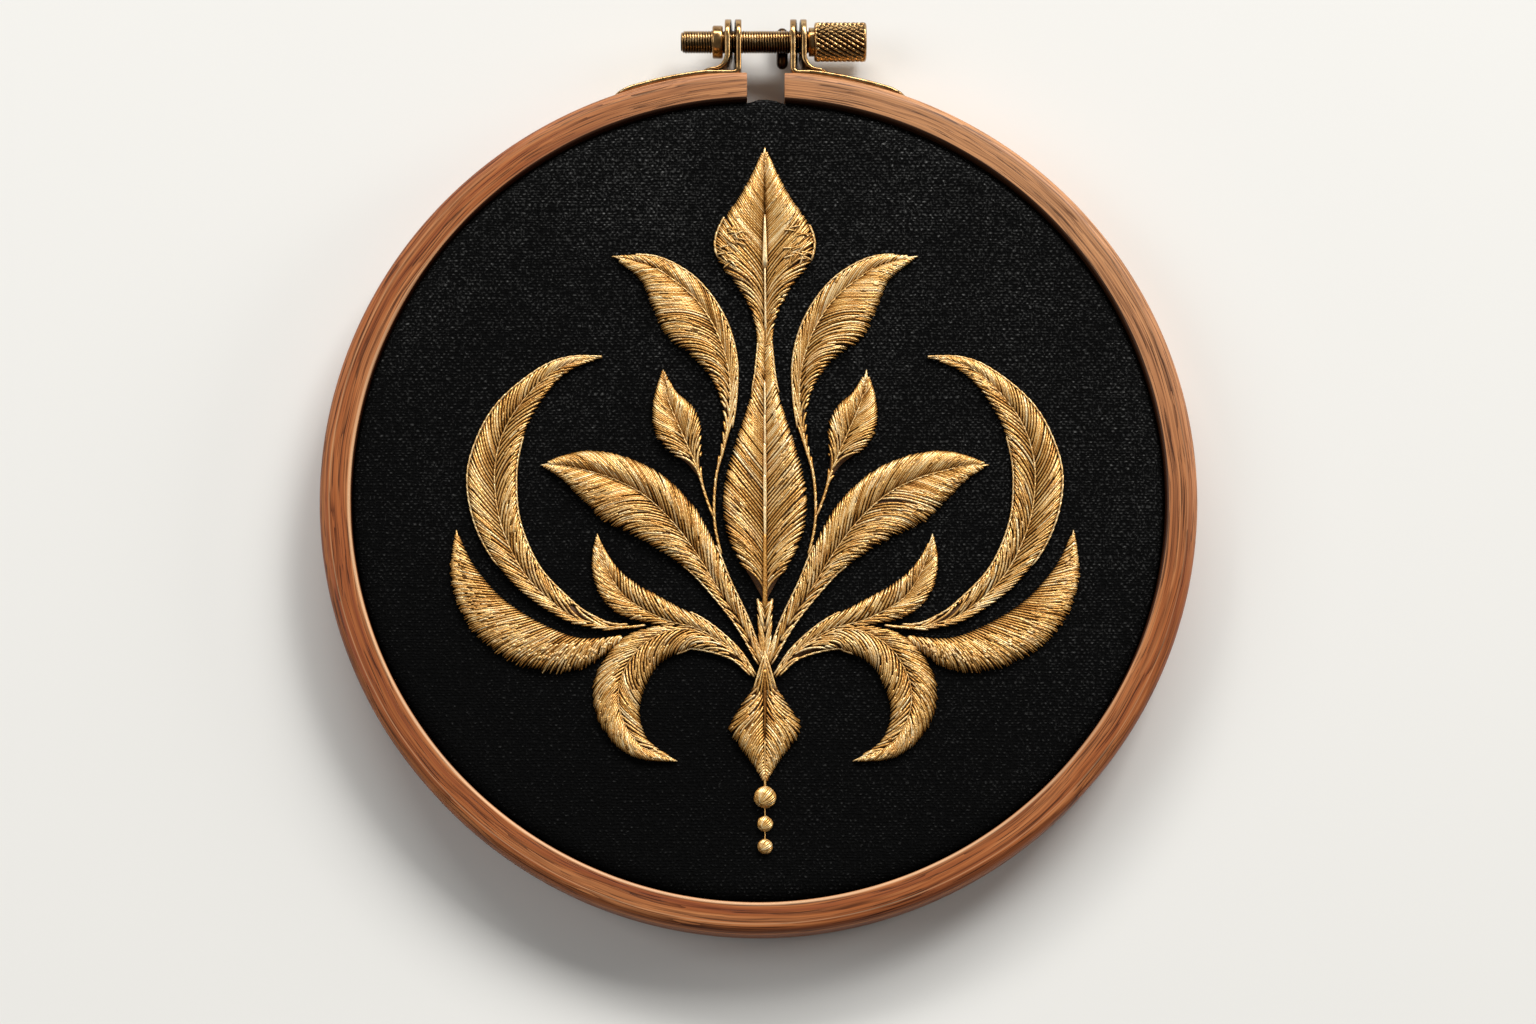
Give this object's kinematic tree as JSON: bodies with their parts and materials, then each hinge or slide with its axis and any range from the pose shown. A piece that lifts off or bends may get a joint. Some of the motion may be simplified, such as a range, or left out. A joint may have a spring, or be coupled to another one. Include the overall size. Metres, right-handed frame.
{
  "type": "hoop embroidery art in a wooden embroidery hoop",
  "caption": "Round split wooden hoop closed by a brass thumb screw, holding stretched black cloth worked with a raised gold-thread leaf ornament.",
  "frame": {"origin": "bottom centre of the whole part: in the plane of the hoop's back, midway across and along it", "axes": "+Z out of the cloth's face, +Y across the hoop to the tightening screw, +X towards the screw's knob"},
  "size_m": [0.165, 0.1764, 0.0137],
  "materials": {
    "outer_wood": "satin",
    "inner_wood": "bare",
    "black_linen": "matte weave",
    "gold_thread": "satin thread",
    "aged_brass": "aged satin"
  },
  "bodies": {
    "root": {"outer_ring": "outer_wood", "inner_ring": "inner_wood", "cloth": "black_linen", "strap_left": "aged_brass", "strap_right": "aged_brass", "lug_left": "aged_brass", "lug_right": "aged_brass", "screw": "aged_brass", "screw_nut": "aged_brass", "stop_pin": "aged_brass", "finial": "gold_thread", "spindle": "gold_thread", "centre_stem": "gold_thread", "diamond": "gold_thread", "dot_large": "gold_thread", "dot_middle": "gold_thread", "dot_small": "gold_thread", "leaf_upper_left": "gold_thread", "leaf_upper_right": "gold_thread", "leaf_small_left": "gold_thread", "leaf_small_right": "gold_thread", "leaf_broad_left": "gold_thread", "leaf_broad_right": "gold_thread", "leaf_low_left": "gold_thread", "leaf_low_right": "gold_thread", "crescent_left": "gold_thread", "crescent_right": "gold_thread", "plume_left": "gold_thread", "plume_right": "gold_thread", "scroll_left": "gold_thread", "scroll_right": "gold_thread"}
  },
  "joints": []
}
